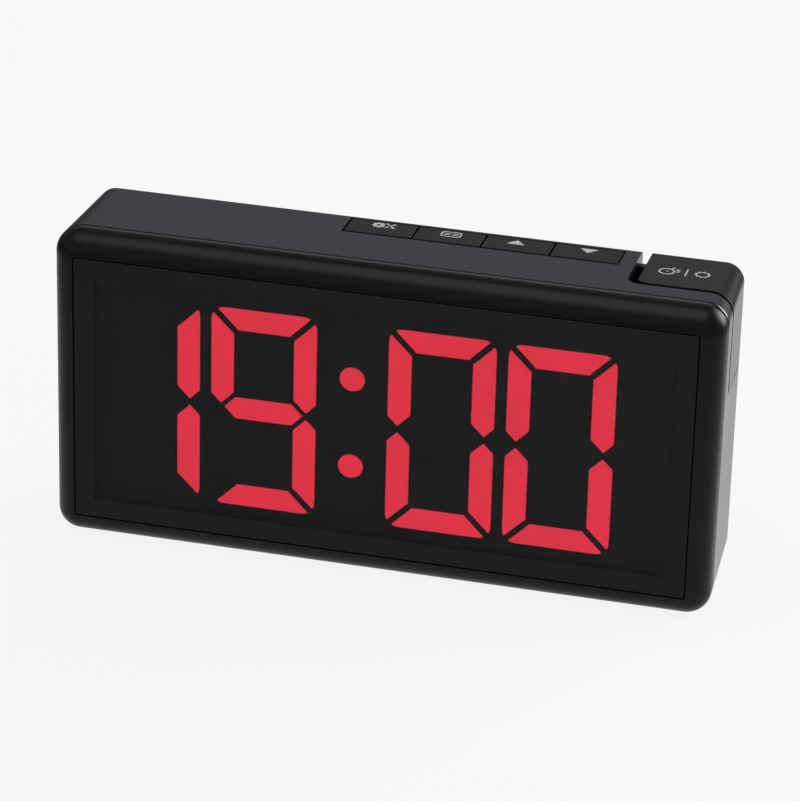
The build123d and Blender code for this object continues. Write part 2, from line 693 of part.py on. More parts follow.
# ---- display ------------------------------------------------------------------------------
SEGMENT_PLACES = {
    "a": (0, 1),
    "b": (1, 0.5),
    "c": (1, -0.5),
    "d": (0, -1),
    "e": (-1, -0.5),
    "f": (-1, 0.5),
    "g": (0, 0),
}
SEGMENTS_OF = {"1": "bc", "9": "abcdfg", "0": "abcdef"}
TIME_SHOWN = ("1", "9", "0", "0")


def digit_places():
    """Middle of each digit, from the left."""
    inner = COLON_SPACE / 2
    outer = inner + DIGIT_PITCH
    return [DISPLAY_X + x for x in (-outer, -inner, inner, outer)]


def segment_faces():
    """The seven bars of one digit, drawn round its middle and parted by mitred gaps."""
    window_height = (DIGIT_HEIGHT - 3 * BAR_WIDTH) / 2
    window_y = (window_height + BAR_WIDTH) / 2
    drawing = RectangleRounded(DIGIT_WIDTH, DIGIT_HEIGHT, BAR_CORNER_R)
    for up in (-1, 1):
        drawing -= Pos(0, up * window_y) * Rectangle(DIGIT_WIDTH - 2 * BAR_WIDTH, window_height)
    strip = Rectangle(4 * BAR_WIDTH, BAR_GAP)
    node_x = DIGIT_WIDTH / 2 - NODE_INSET
    for side in (-1, 1):
        for up in (-1, 1):
            corner = Pos(side * DIGIT_WIDTH / 2, up * DIGIT_HEIGHT / 2)
            drawing -= corner * Rot(0, 0, 45 * side * up) * Rectangle(3 * BAR_WIDTH, CORNER_GAP)
        drawing -= Pos(side * node_x, 0) * Rot(0, 0, 45) * strip
        drawing -= Pos(side * node_x, 0) * Rot(0, 0, -45) * strip
    named = {}
    for name, (side, up) in SEGMENT_PLACES.items():
        place = Vector(side * (DIGIT_WIDTH - BAR_WIDTH) / 2, up * (DIGIT_HEIGHT - BAR_WIDTH) / 2)
        large = [face for face in drawing.faces() if face.area > BAR_WIDTH**2]
        named[name] = min(large, key=lambda face: (face.center() - place).length)
    return named


BARS = segment_faces()


def segment_solids(start, end, wanted):
    """Bars of all digits between two depths: the lit ones, the dark ones or all."""
    solids = []
    for x, digit in zip(digit_places(), TIME_SHOWN):
        for name, face in BARS.items():
            lit = name in SEGMENTS_OF[digit]
            if wanted == "all" or (wanted == "lit") == lit:
                solids.append(extrude(facing(x, start, DIGIT_Z) * face, amount=start - end))
    return solids


def colon_solids(start, end):
    heights = (DIGIT_Z - COLON_SPACING / 2, DIGIT_Z + COLON_SPACING / 2)
    return [rod_y(COLON_R, DISPLAY_X, z, start, end) for z in heights]


def segment_mask():
    ledge_rear = PANEL_THICKNESS + LEDGE_THICKNESS
    half_width = WIDTH / 2 - RIM - LEDGE_SIDE - MASK_CLEARANCE
    half_window = HEIGHT / 2 - RIM - LEDGE_TOP - MASK_CLEARANCE
    half_flange = half_window + LEDGE_TOP - 2 * MASK_CLEARANCE
    mask = slab(2 * half_width, 2 * half_window, PANEL_CORNER_R, MASK_FRONT, ledge_rear)
    mask += span(
        (-half_width, half_width), (ledge_rear, MASK_DEPTH), (MID_Z - half_flange, MID_Z + half_flange)
    )
    windows = segment_solids(MASK_FRONT, MASK_DEPTH, "all")
    for window in windows + colon_solids(MASK_FRONT, MASK_DEPTH):
        mask -= window
    return mask


def display_board():
    inset = 2 * (WALL + SKIRT_CLEARANCE + SKIRT_WALL + BOARD_CLEARANCE)
    rear = MASK_DEPTH + BOARD_THICKNESS
    board = slab(WIDTH - inset, HEIGHT - inset - 2 * BOARD_CLEARANCE, CORNER_R - WALL, MASK_DEPTH, rear)
    for x, z in board_boss_places():
        board -= rod_y(PILOT_R + 0.3, x, z, 0, OVERSIZE)
    return board


def segment_leds():
    """One chip behind each bar and each colon dot."""
    places = []
    for x in digit_places():
        for face in BARS.values():
            middle = face.center()
            places.append((x + middle.X, DIGIT_Z + middle.Y))
    places += [(DISPLAY_X, DIGIT_Z + side * COLON_SPACING / 2) for side in (-1, 1)]
    chips = []
    for x, z in places:
        chips.append(
            span(
                (x - CHIP_WIDTH / 2, x + CHIP_WIDTH / 2),
                (MASK_DEPTH - CHIP_THICKNESS, MASK_DEPTH),
                (z - CHIP_HEIGHT / 2, z + CHIP_HEIGHT / 2),
            )
        )
    return group(chips)


def screws_along_y(places, seat, length):
    """Small screws that go in forwards, their heads behind the seat."""
    screws = []
    for x, z in places:
        screw = rod_y(SCREW_HEAD_R, x, z, seat, seat + SCREW_HEAD)
        screws.append(screw + rod_y(PILOT_R, x, z, seat - length, seat))
    return group(screws)


# ---- electronics --------------------------------------------------------------------------
def main_board_hole_places():
    """Middle of each main board screw: x and z."""
    inset = MAIN_BOARD_HOLE_INSET
    corners = (MAIN_BOARD_LEFT + inset, MAIN_BOARD_RIGHT - inset)
    return [(x, z) for x in corners for z in (MAIN_BOARD_BOTTOM + inset, MAIN_BOARD_TOP - inset)]


def main_board():
    board = span(
        (MAIN_BOARD_LEFT, MAIN_BOARD_RIGHT),
        (MAIN_BOARD_FRONT, MAIN_BOARD_FRONT + BOARD_THICKNESS),
        (MAIN_BOARD_BOTTOM, MAIN_BOARD_TOP),
    )
    for x, z in main_board_hole_places():
        board -= rod_y(PILOT_R + 0.3, x, z, 0, OVERSIZE)
    return board


def board_screws():
    screws = []
    for x, z in main_board_hole_places():
        screw = rod_y(SCREW_HEAD_R, x, z, MAIN_BOARD_FRONT - SCREW_HEAD, MAIN_BOARD_FRONT)
        screws.append(screw + rod_y(PILOT_R, x, z, MAIN_BOARD_FRONT, MAIN_BOARD_FRONT + 5.0))
    return group(screws)


def on_main_board(x, z, width, height, thickness):
    """A flat component on the main board's rear side."""
    rear = MAIN_BOARD_FRONT + BOARD_THICKNESS
    return span((x - width / 2, x + width / 2), (rear, rear + thickness), (z - height / 2, z + height / 2))


def speaker():
    rim = rod_y(SPEAKER_R, SPEAKER_X, SPEAKER_Z, REAR_PARTING - 1.2, REAR_PARTING)
    basket_front = REAR_PARTING - SPEAKER_THICKNESS + SPEAKER_MAGNET
    basket = rod_y(SPEAKER_R - 1.5, SPEAKER_X, SPEAKER_Z, basket_front, REAR_PARTING - 1.2)
    cone = rod_y(SPEAKER_R - 2.5, SPEAKER_X, SPEAKER_Z, REAR_PARTING - 0.8, REAR_PARTING + EPS)
    magnet = rod_y(SPEAKER_MAGNET_R, SPEAKER_X, SPEAKER_Z, REAR_PARTING - SPEAKER_THICKNESS, basket_front)
    return rim + basket + magnet - cone


def dc_inlet():
    """The inlet's moulded body: its mouth is behind the rear cover's round hole."""
    front = MAIN_BOARD_FRONT + BOARD_THICKNESS
    body = span(
        (INLET_X - INLET_WIDTH / 2, INLET_X + INLET_WIDTH / 2),
        (front, REAR_PARTING),
        (INLET_Z - INLET_HEIGHT / 2, INLET_Z + INLET_HEIGHT / 2),
    )
    return body - rod_y(INLET_R - 0.3, INLET_X, INLET_Z, REAR_PARTING - INLET_DEPTH, REAR_PARTING + EPS)


def inlet_contact():
    start = REAR_PARTING - INLET_DEPTH
    pin = rod_y(INLET_PIN_R, INLET_X, INLET_Z, start, REAR_PARTING - 0.6)
    return fillet(pin.faces().sort_by(Axis.Y)[-1].edges(), 0.5)


def ribbon_cable():
    half = RIBBON_THICKNESS / 2
    start = MASK_DEPTH + BOARD_THICKNESS
    x = (-RIBBON_WIDTH / 2, RIBBON_WIDTH / 2)
    return span(x, (start, MAIN_BOARD_FRONT), (RIBBON_Z - half, RIBBON_Z + half))


# ---- keys ---------------------------------------------------------------------------------
def key_middle(index):
    """Middle of a key: x and depth."""
    width = KEY_PITCH - KEY_GAP
    return KEYS_LEFT + index * KEY_PITCH + width / 2, (KEYS_FRONT + KEYS_REAR) / 2


def top_key(index):
    """A hollow key cap, flush with the sloping top, with a post and a flange that holds it in."""
    flange_top, post_end, _, _ = key_levels()
    x, depth = key_middle(index)
    half = (KEY_PITCH - KEY_GAP) / 2
    skirt_end = flange_top - KEY_FLANGE_THICKNESS
    cap = ENVELOPE & span((x - half, x + half), (KEYS_FRONT, KEYS_REAR), (skirt_end, OVERSIZE))
    cap = fillet(cap.faces().sort_by(Axis.Z)[-1].edges(), KEY_EDGE_R)
    cavity_top = MID_Z + HEIGHT / 2 - inset_at(REAR_PARTING) - KEY_CAP
    wall = 1.0
    cap -= span(
        (x - half + wall, x + half - wall),
        (KEYS_FRONT + wall, KEYS_REAR - wall),
        (skirt_end - EPS, cavity_top),
    )
    flange = (KEYS_FRONT - KEY_FRONT_GAP - KEY_FLANGE, KEYS_FRONT + wall)
    cap += span((x - half, x + half), flange, (skirt_end, flange_top))
    return cap + rod_z(KEY_POST_R, x, depth, post_end, cavity_top)


def switch_plunger(index):
    _, post_end, switch_top, _ = key_levels()
    x, depth = key_middle(index)
    return rod_z(PLUNGER_R, x, depth, switch_top - PLUNGER_BELOW, post_end)


def key_switches():
    _, _, switch_top, board_top = key_levels()
    bases = []
    for index in range(len(KEY_NAMES)):
        x, depth = key_middle(index)
        half = SWITCH_SIZE / 2
        base = span((x - half, x + half), (depth - half, depth + half), (board_top, switch_top))
        well = PLUNGER_BELOW + KEY_TRAVEL + PLUNGER_CLEARANCE
        bases.append(base - rod_z(PLUNGER_R + PLUNGER_CLEARANCE, x, depth, switch_top - well, OVERSIZE))
    return group(bases)


def key_board():
    board_top = key_levels()[3]
    x, depth = key_board_limits()
    board = span(x, depth, (board_top - KEY_BOARD_THICKNESS, board_top))
    for screw_x, screw_depth in key_board_screw_places():
        board -= rod_z(PILOT_R + 0.3, screw_x, screw_depth, 0, OVERSIZE)
    return board


def key_board_screws():
    seat = key_levels()[3] - KEY_BOARD_THICKNESS
    screws = []
    for x, depth in key_board_screw_places():
        screw = rod_z(SCREW_HEAD_R, x, depth, seat - SCREW_HEAD, seat)
        screws.append(screw + rod_z(PILOT_R, x, depth, seat, seat + 5.0))
    return group(screws)


# ---- projector head -----------------------------------------------------------------------
OPTICS_REAR = HOLDER_FRONT + HOLDER_DEPTH


def head_rim(block):
    """The edges of the head that face the slot and the front seam, except its underside."""
    corner = HEAD_LEFT + HEAD_CORNER_R + EPS
    rim = []
    for edge in block.edges():
        box = edge.bounding_box()
        front = box.max.Y < FRONT + HEAD_FRONT + HEAD_CORNER_R + EPS
        left = box.max.X < corner
        upright = box.size.Z > HEIGHT / 8
        underside = box.min.Z < HEAD_BOTTOM + HEAD_CORNER_R and not upright
        if (front or left) and not underside and not (upright and left):
            rim.append(edge)
    return rim


def head_block():
    """The outside of the head."""
    block = rounded_head_volume(HEAD_LEFT, HEAD_FRONT, 0, OVERSIZE, HEAD_CORNER_R) & ENVELOPE
    block = fillet(head_rim(block), HEAD_EDGE_R)
    return block - knuckle_relief(FIXED_KNUCKLE_LEFT, FIXED_KNUCKLE_RIGHT)


HEAD_BLOCK = head_block()


def head_cavity_right():
    return WIDTH / 2 - inset_at(REAR_PARTING) - HEAD_WALL - 0.5


def head_cavity_top():
    return MID_Z + HEIGHT / 2 - inset_at(REAR_PARTING) - HEAD_WALL


def head_cavity():
    """The hollow of the head: behind its front wall and under its top."""
    top = head_cavity_top()
    front = HEAD_FRONT + HEAD_WALL
    rear = REAR_PARTING + EPS
    points = [
        (front, floor_height(front, -HEAD_WALL)),
        (REAR_PARTING - 4.5, floor_height(REAR_PARTING - 4.5, -HEAD_WALL)),
        (rear, floor_height(rear, -HEAD_WALL) + 2.6),
        (rear, top),
        (front, top),
    ]
    return side_profile(points, HEAD_LEFT + HEAD_WALL, head_cavity_right())


def head_screw_places():
    """Middle of each screw in the head's rear wall: x and z."""
    z = head_cavity_top() - BOSS_R + EPS
    return [(x, z) for x in (HEAD_LEFT + 4.2, WIDTH / 2 - 6.8)]


def head_shell():
    front_part = span((0, WIDTH), (0, REAR_PARTING), (0, OVERSIZE))
    shell = HEAD_BLOCK & front_part
    solid = shell
    shell -= head_cavity()
    for x, z in head_screw_places():
        boss_start = REAR_PARTING - HEAD_BOSS_LENGTH
        shell += rod_y(BOSS_R, x, z, boss_start, REAR_PARTING) & solid
        shell -= rod_y(PILOT_R, x, z, boss_start + EPS, REAR_PARTING + EPS)
    guide = (HEAD_FRONT + RING_RECESS + RING_LENGTH + RING_CLEARANCE, HOLDER_FRONT)
    sleeve_r = CELL_R + RING_CLEARANCE
    sleeve = rod_y(sleeve_r + 1.0, LENS_X, LENS_Z, *guide) - rod_y(sleeve_r, LENS_X, LENS_Z, *guide)
    stem = span((LENS_X + sleeve_r + 0.5, WIDTH / 2 - HEAD_WALL), guide, (LENS_Z - 1, LENS_Z + 1))
    shell += sleeve
    shell += stem & solid
    shell -= rod_y(RING_R + RING_CLEARANCE, LENS_X, LENS_Z, 0, HEAD_FRONT + HEAD_WALL + EPS)
    return shell


def head_rear():
    """The head's rear wall with the moving knuckle."""
    wall = HEAD_BLOCK & span((0, WIDTH), (REAR_PARTING, BODY_DEPTH), (0, OVERSIZE))
    knuckle = (MOVING_KNUCKLE_LEFT, MOVING_KNUCKLE_RIGHT)
    wall += rod_x(KNUCKLE_R, PIVOT_DEPTH, PIVOT_Z, *knuckle)
    rear_edge = KNUCKLE_R * 0.8
    web = [
        (REAR_PARTING, PIVOT_Z),
        (PIVOT_DEPTH, PIVOT_Z),
        (PIVOT_DEPTH + rear_edge, PIVOT_Z + KNUCKLE_R * 0.6),
        (PIVOT_DEPTH - EPS, PIVOT_Z + KNUCKLE_R * 2.2),
        (REAR_PARTING, PIVOT_Z + KNUCKLE_R * 2.2),
    ]
    wall += side_profile(web, *knuckle)
    middle = (MOVING_KNUCKLE_LEFT + MOVING_KNUCKLE_RIGHT) / 2
    wall -= rod_x(TRUNNION_R + PIVOT_FIT, PIVOT_DEPTH, PIVOT_Z, MOVING_KNUCKLE_LEFT - EPS, middle)
    wall -= rod_x(HINGE_PIN_R + PIVOT_FIT, PIVOT_DEPTH, PIVOT_Z, middle + 0.6, MOVING_KNUCKLE_RIGHT + EPS)
    for x, z in head_screw_places():
        wall -= rod_y(PILOT_R + 0.3, x, z, REAR_PARTING - EPS, BODY_DEPTH + EPS)
        wall -= rod_y(HEAD_SCREW_R + 0.2, x, z, BODY_DEPTH - SCREW_HEAD, BODY_DEPTH + EPS)
    return wall


def head_screws():
    screws = []
    for x, z in head_screw_places():
        seat = BODY_DEPTH - SCREW_HEAD
        screw = rod_y(HEAD_SCREW_R, x, z, seat, BODY_DEPTH - 0.1)
        screws.append(screw + rod_y(PILOT_R, x, z, seat - HEAD_BOSS_LENGTH, seat))
    return group(screws)


def hinge_trunnion():
    """A hollow steel bush, pressed into the cover, that the head turns on and its lead runs through."""
    start = CABLE_X + 2.4
    tube = rod_x(TRUNNION_R, PIVOT_DEPTH, PIVOT_Z, start, start + TRUNNION_LENGTH)
    return tube - rod_x(TRUNNION_BORE_R, PIVOT_DEPTH, PIVOT_Z, start - EPS, start + TRUNNION_LENGTH + EPS)


def hinge_pin():
    right = FIXED_KNUCKLE_RIGHT - 1.0
    start = max(right - HINGE_PIN_LENGTH, (MOVING_KNUCKLE_LEFT + MOVING_KNUCKLE_RIGHT) / 2 + 0.8)
    return rod_x(HINGE_PIN_R, PIVOT_DEPTH, PIVOT_Z, start, right)


def friction_washer():
    """A spring washer between the right knuckles, which holds the head at any angle."""
    start = MOVING_KNUCKLE_RIGHT
    end = start + WASHER_THICKNESS
    washer = rod_x(KNUCKLE_R - 0.4, PIVOT_DEPTH, PIVOT_Z, start, end)
    return washer - rod_x(HINGE_PIN_R + PIVOT_FIT, PIVOT_DEPTH, PIVOT_Z, start - EPS, end + EPS)


def focus_ring():
    front = HEAD_FRONT + RING_RECESS
    rear = front + RING_LENGTH
    flange_front = HEAD_FRONT + HEAD_WALL + 0.15
    ring = rod_y(RING_R, LENS_X, LENS_Z, front, rear)
    ring += rod_y(RING_FLANGE_R, LENS_X, LENS_Z, flange_front, flange_front + RING_FLANGE)
    ring -= rod_y(RING_INNER_R, LENS_X, LENS_Z, front - EPS, rear + EPS)
    for index in range(RING_GROOVES):
        angle = 2 * math.pi * index / RING_GROOVES
        x = LENS_X + RING_R * math.cos(angle)
        z = LENS_Z + RING_R * math.sin(angle)
        ring -= rod_y(GROOVE_R, x, z, front - EPS, flange_front - 0.3)
    return ring


def lens_cell():
    front = HEAD_FRONT + CELL_RECESS
    rear = front + CELL_LENGTH
    cell = rod_y(CELL_R, LENS_X, LENS_Z, front, rear)
    return cell - rod_y(CELL_BORE_R, LENS_X, LENS_Z, front - EPS, rear + EPS)


def projection_lens():
    """A lens with two domed faces."""
    middle = HEAD_FRONT + CELL_RECESS + CELL_LENGTH / 2
    bulge = (LENS_THICKNESS - LENS_EDGE) / 2
    radius = (LENS_R**2 + bulge**2) / (2 * bulge)
    offset = radius - LENS_THICKNESS / 2
    near = Pos(LENS_X, FRONT + middle + offset, LENS_Z) * Sphere(radius)
    far = Pos(LENS_X, FRONT + middle - offset, LENS_Z) * Sphere(radius)
    return near & far & rod_y(LENS_R, LENS_X, LENS_Z, middle - LENS_THICKNESS, middle + LENS_THICKNESS)


def square_on_axis(size, start, end):
    """A square plate across the optical axis."""
    half = size / 2
    return span((LENS_X - half, LENS_X + half), (start, end), (LENS_Z - half, LENS_Z + half))


def optics_holder():
    holder = square_on_axis(HOLDER_SIZE, HOLDER_FRONT, OPTICS_REAR)
    wings = (HEAD_LEFT + HEAD_WALL, head_cavity_right())
    holder += span(wings, (HOLDER_FRONT, HOLDER_FRONT + 1.0), (LENS_Z - 2, LENS_Z + 2))
    holder -= square_on_axis(SLIDE_SIZE, HOLDER_FRONT + 1.0, HOLDER_FRONT + 1.0 + SLIDE_THICKNESS)
    holder -= rod_y(HOLDER_BORE_R, LENS_X, LENS_Z, HOLDER_FRONT - EPS, OPTICS_REAR + EPS)
    holder -= rod_y(CONDENSER_R, LENS_X, LENS_Z, OPTICS_REAR - CONDENSER_THICKNESS, OPTICS_REAR + EPS)
    return holder


def time_slide():
    return square_on_axis(SLIDE_SIZE, HOLDER_FRONT + 1.0, HOLDER_FRONT + 1.0 + SLIDE_THICKNESS)


def condenser_lens():
    disc = rod_y(CONDENSER_R, LENS_X, LENS_Z, OPTICS_REAR - CONDENSER_THICKNESS, OPTICS_REAR)
    return fillet(disc.faces().sort_by(Axis.Y)[0].edges(), CONDENSER_THICKNESS * 0.7)


def lamp_board():
    x = (LENS_X - LAMP_BOARD_WIDTH / 2, LENS_X + LAMP_BOARD_WIDTH / 2)
    z = (LENS_Z - LAMP_BOARD_HEIGHT / 2, LENS_Z + LAMP_BOARD_HEIGHT / 2)
    return span(x, (REAR_PARTING - LAMP_BOARD_THICKNESS, REAR_PARTING), z)


def projection_lamp():
    rear = REAR_PARTING - LAMP_BOARD_THICKNESS
    lamp = rod_y(LAMP_R, LENS_X, LENS_Z, rear - LAMP_LENGTH, rear)
    return fillet(lamp.faces().sort_by(Axis.Y)[0].edges(), LAMP_R * 0.8)


def touch_foil():
    top = head_cavity_top()
    x = (HEAD_LEFT + HEAD_WALL + 1.5, WIDTH / 2 - 8.0)
    return span(x, (HEAD_FRONT + 4.0, REAR_PARTING - 7.0), (top - FOIL_THICKNESS, top))


def head_cable():
    """The lead from the main board, up behind it and into the hollow hinge."""
    start = MAIN_BOARD_FRONT + BOARD_THICKNESS + 4.0
    foot = Vector(CABLE_X, FRONT + start, MAIN_BOARD_TOP - 6.0)
    corner = Vector(CABLE_X, FRONT + start, PIVOT_Z)
    elbow = Vector(CABLE_X, FRONT + PIVOT_DEPTH, PIVOT_Z)
    end = Vector(CABLE_X + 9.0, FRONT + PIVOT_DEPTH, PIVOT_Z)
    route = FilletPolyline(foot, corner, elbow, end, radius=CABLE_BEND)
    section = Plane(origin=foot, z_dir=(0, 0, 1)) * Circle(CABLE_R)
    return sweep(section, path=route)


def build():
    os.makedirs("parts", exist_ok=True)
    save(front_bezel(), "front_bezel")
    save(display_panel(), "display_panel")
    save(main_housing(), "main_housing")
    save(rear_cover(), "rear_cover")
    save(housing_screws(), "housing_screws")
    save(rubber_feet(), "rubber_feet")
    save(battery_door(), "battery_door")
    save(coin_cell(), "coin_cell")
    save(cell_contact_minus(), "cell_contact_minus")
    save(cell_contact_plus(), "cell_contact_plus")

    pipe_rear = MASK_FRONT + PIPE_THICKNESS
    save(segment_mask(), "segment_mask")
    save(group(segment_solids(MASK_FRONT, pipe_rear, "lit")), "lit_segments")
    save(group(segment_solids(MASK_FRONT, pipe_rear, "dark")), "unlit_segments")
    save(group(colon_solids(MASK_FRONT, pipe_rear)), "colon_dots")
    save(display_board(), "display_board")
    save(segment_leds(), "segment_leds")
    save(screws_along_y(board_boss_places(), MASK_DEPTH + BOARD_THICKNESS, 5.0), "display_screws")
    save(ribbon_cable(), "ribbon_cable")

    save(main_board(), "main_board")
    save(board_screws(), "board_screws")
    save(on_main_board(-2, 34, 10, 10, 1.2), "clock_chip")
    save(on_main_board(-14, 34, 3.2, 8, 2.4), "crystal_can")
    save(speaker(), "speaker")
    save(dc_inlet(), "dc_inlet")
    save(inlet_contact(), "inlet_contact")

    save(key_board(), "key_board")
    save(key_switches(), "key_switches")
    save(key_board_screws(), "key_board_screws")
    for index, name in enumerate(KEY_NAMES):
        save(top_key(index), name)
        save(switch_plunger(index), name.replace("_key", "_plunger"))

    save(head_shell(), "head_shell")
    save(head_rear(), "head_rear")
    save(head_screws(), "head_screws")
    save(hinge_trunnion(), "hinge_trunnion")
    save(hinge_pin(), "hinge_pin")
    save(friction_washer(), "friction_washer")
    save(focus_ring(), "focus_ring")
    save(lens_cell(), "lens_cell")
    save(projection_lens(), "projection_lens")
    save(optics_holder(), "optics_holder")
    save(time_slide(), "time_slide")
    save(condenser_lens(), "condenser_lens")
    save(lamp_board(), "lamp_board")
    save(projection_lamp(), "projection_lamp")
    save(touch_foil(), "touch_foil")
    save(head_cable(), "head_cable")


build()
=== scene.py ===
import math

import bmesh
import bpy
from mathutils import Matrix, Vector


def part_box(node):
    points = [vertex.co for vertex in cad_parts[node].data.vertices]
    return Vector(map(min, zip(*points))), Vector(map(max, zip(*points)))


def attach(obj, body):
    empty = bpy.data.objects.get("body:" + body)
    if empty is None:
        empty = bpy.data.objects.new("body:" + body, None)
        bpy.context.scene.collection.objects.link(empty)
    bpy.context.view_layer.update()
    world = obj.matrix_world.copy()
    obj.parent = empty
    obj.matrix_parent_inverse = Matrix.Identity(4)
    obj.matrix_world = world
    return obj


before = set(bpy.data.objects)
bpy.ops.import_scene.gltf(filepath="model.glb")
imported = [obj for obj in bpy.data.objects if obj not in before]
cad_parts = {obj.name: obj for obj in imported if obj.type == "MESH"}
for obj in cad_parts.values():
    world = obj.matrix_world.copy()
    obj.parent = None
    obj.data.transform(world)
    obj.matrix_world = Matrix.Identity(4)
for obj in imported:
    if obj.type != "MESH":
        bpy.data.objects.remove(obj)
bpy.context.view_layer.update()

MM = 0.001

# ---- camera and studio --------------------------------------------------------------------
CAMERA_PLACE = Vector((0.21337, -0.88395, 0.47240))
CAMERA_TILT = 64.545  # degrees, up from looking straight down
CAMERA_ROLL = -1.427
CAMERA_TURN = 14.213  # degrees round the clock, to its right
CAMERA_LENS = 184.99  # millimetres, on a 36 mm wide sensor

BACKGROUND = (0.945, 0.945, 0.945)
FLOOR_COLOUR = (0.86, 0.86, 0.86)
FLOOR_GLOW = 0.93  # how far the floor's shade is evened out for the eye
FLOOR_FADE = (0.2, 0.32)  # metres from the clock between which its mirrored glow ends
FLOOR_SIZE = 8.0
ROOM_LIGHT = (0.1, 0.1, 0.1)
WALL_LIGHT = (0.49, 0.478, 0.53)
WALL_LOW = (0.2, 0.32)  # sines of the heights between which the pale wall starts
WALL_HIGH = (0.5, 0.6)  # and ends
WALL_RIGHT = (0.15, 0.4)  # how far to the right it reaches, as a share of the way there
FRONT_LIGHT = (0.42, 0.42, 0.42)  # the room in front of the clock
FRONT_REACH = (0.1, 0.5)  # the shares of the way to the front between which it starts
LAMP_AIM = (0, 0, 0.04)  # the middle of the clock
OVERHEAD = {"place": (-0.15, -0.2, 1.54), "side": 1.2, "power": 10.5}
RIGHT_LAMP = {"place": (1.06, 0.93, 0.55), "side": 0.9, "power": 28}
OPENNESS_SAMPLES = 8


class Number:
    """A number that varies over a surface: Python's operators on it add Math nodes."""

    def __init__(self, finish, socket):
        self.finish = finish
        self.socket = socket

    def worked(self, operation, *values):
        sockets = dict(enumerate(values))
        return self.finish.node("ShaderNodeMath", {"operation": operation}, sockets)

    def __add__(self, other):
        return self.worked("ADD", self, other)

    def __sub__(self, other):
        return self.worked("SUBTRACT", self, other)

    def __rsub__(self, other):
        return self.worked("SUBTRACT", other, self)

    def __mul__(self, other):
        return self.worked("MULTIPLY", self, other)

    def __pow__(self, other):
        return self.worked("POWER", self, other)

    __radd__ = __add__
    __rmul__ = __mul__

    def at_most(self, other):
        return self.worked("MINIMUM", self, other)

    def at_least(self, other):
        return self.worked("MAXIMUM", self, other)

    def between(self, low, high):
        """0 below low, 1 above high, and a smooth rise between them."""
        settings = {"interpolation_type": "SMOOTHSTEP"}
        return self.finish.node("ShaderNodeMapRange", settings, {"Value": self, 1: low, 2: high})


class Finish:
    """A material, a world or any other node tree that is being built."""

    def __init__(self, owner):
        owner.use_nodes = True
        self.owner = owner
        self.tree = owner.node_tree
        self.tree.nodes.clear()

    def node(self, kind, settings, sockets, output=0):
        """Adds a node, with its settings first, and gives one of its outputs."""
        made = self.tree.nodes.new(kind)
        for name, value in settings.items():
            setattr(made, name, value)
        for name, value in sockets.items():
            if isinstance(value, Number):
                self.tree.links.new(value.socket, made.inputs[name])
            else:
                made.inputs[name].default_value = value
        return Number(self, made.outputs[output]) if made.outputs else made

    def coordinates(self):
        """Places on the clock, in metres."""
        return self.node("ShaderNodeTexCoord", {}, {}, "Object")

    def noise(self, grain, detail=2.0, roughness=0.5):
        """Soft noise whose blotches are about a grain wide, from 0 to 1."""
        settings = {"noise_dimensions": "3D"}
        sockets = {"Vector": self.coordinates(), "Scale": 1 / grain, "Detail": detail}
        sockets["Roughness"] = roughness
        return self.node("ShaderNodeTexNoise", settings, sockets)

    def cell_borders(self, grain):
        """How far a place is from the border of its cell, in cells about a grain wide."""
        sockets = {"Vector": self.coordinates(), "Scale": 1 / grain}
        return self.node("ShaderNodeTexVoronoi", {"feature": "DISTANCE_TO_EDGE"}, sockets)

    def stretched_noise(self, grain, stretch, detail=3.0):
        """Noise drawn out along one direction, such as brushing or mould flow."""
        scaled = self.node(
            "ShaderNodeVectorMath", {"operation": "MULTIPLY"}, {0: self.coordinates(), 1: stretch}
        )
        sockets = {"Vector": scaled, "Scale": 1 / grain, "Detail": detail}
        return self.node("ShaderNodeTexNoise", {"noise_dimensions": "3D"}, sockets)

    def blend(self, share, first, second):
        """A colour between two colours."""
        return self.node(
            "ShaderNodeMix", {"data_type": "RGBA"}, {0: share, 6: rgba(first), 7: rgba(second)}, 2
        )

    def bump(self, height, depth, strength):
        """A normal from a height of 0 to 1 that stands for a depth in metres."""
        sockets = {"Height": height, "Distance": depth, "Strength": strength}
        return self.node("ShaderNodeBump", {}, sockets)

    def openness(self, width, inside):
        """The share of the directions that are open over that distance, outside or inside the part."""
        settings = {"inside": inside, "samples": OPENNESS_SAMPLES}
        return self.node("ShaderNodeAmbientOcclusion", settings, {"Distance": width}, "AO")

    def edge_wear_and_highlight(self, width):
        """1 along convex edges, over about that width."""
        return (1.0 - self.openness(width, True)).between(0.45, 0.8)

    def crevice(self, width):
        """1 deep in seams and gaps about that wide, 0 on open faces."""
        return 1.0 - self.openness(width, False).between(0.25, 0.8)

    def part_of(self, vector, axis):
        return self.node("ShaderNodeSeparateXYZ", {}, {0: vector}, axis)

    def surface(self, **sockets):
        named = {name.replace("_", " "): value for name, value in sockets.items()}
        shader = self.node("ShaderNodeBsdfPrincipled", {}, named)
        return self.output("ShaderNodeOutputMaterial", shader)

    def output(self, kind, shader):
        self.node(kind, {}, {"Surface": shader})
        return self.owner


def rgba(colour):
    return colour if isinstance(colour, Number) else (*colour, 1.0)


def shaded(colour, share):
    """A darker or, above a share of 1, a lighter colour."""
    return tuple(min(channel * share, 1.0) for channel in colour)


def new_finish(name):
    return Finish(bpy.data.materials.new(name))


# ---- finishes of the casing ---------------------------------------------------------------
SEAM_WIDTH = 1.2 * MM
# Painted shade: this near-black colour is painted into seams and gaps, where shade falls.
SEAM_SHADE_COLOUR = (0.0004, 0.0004, 0.0004)
PRINTED_BORDER = 4.9 * MM  # width on the panel's front face
BORDER_SLOPE = 0.5  # how much narrower it gets towards the rear face, as a share of the depth
BORDER_EDGE = 0.1 * MM
PANEL_TINT = 0.4  # how much light each face of the dark panel stops


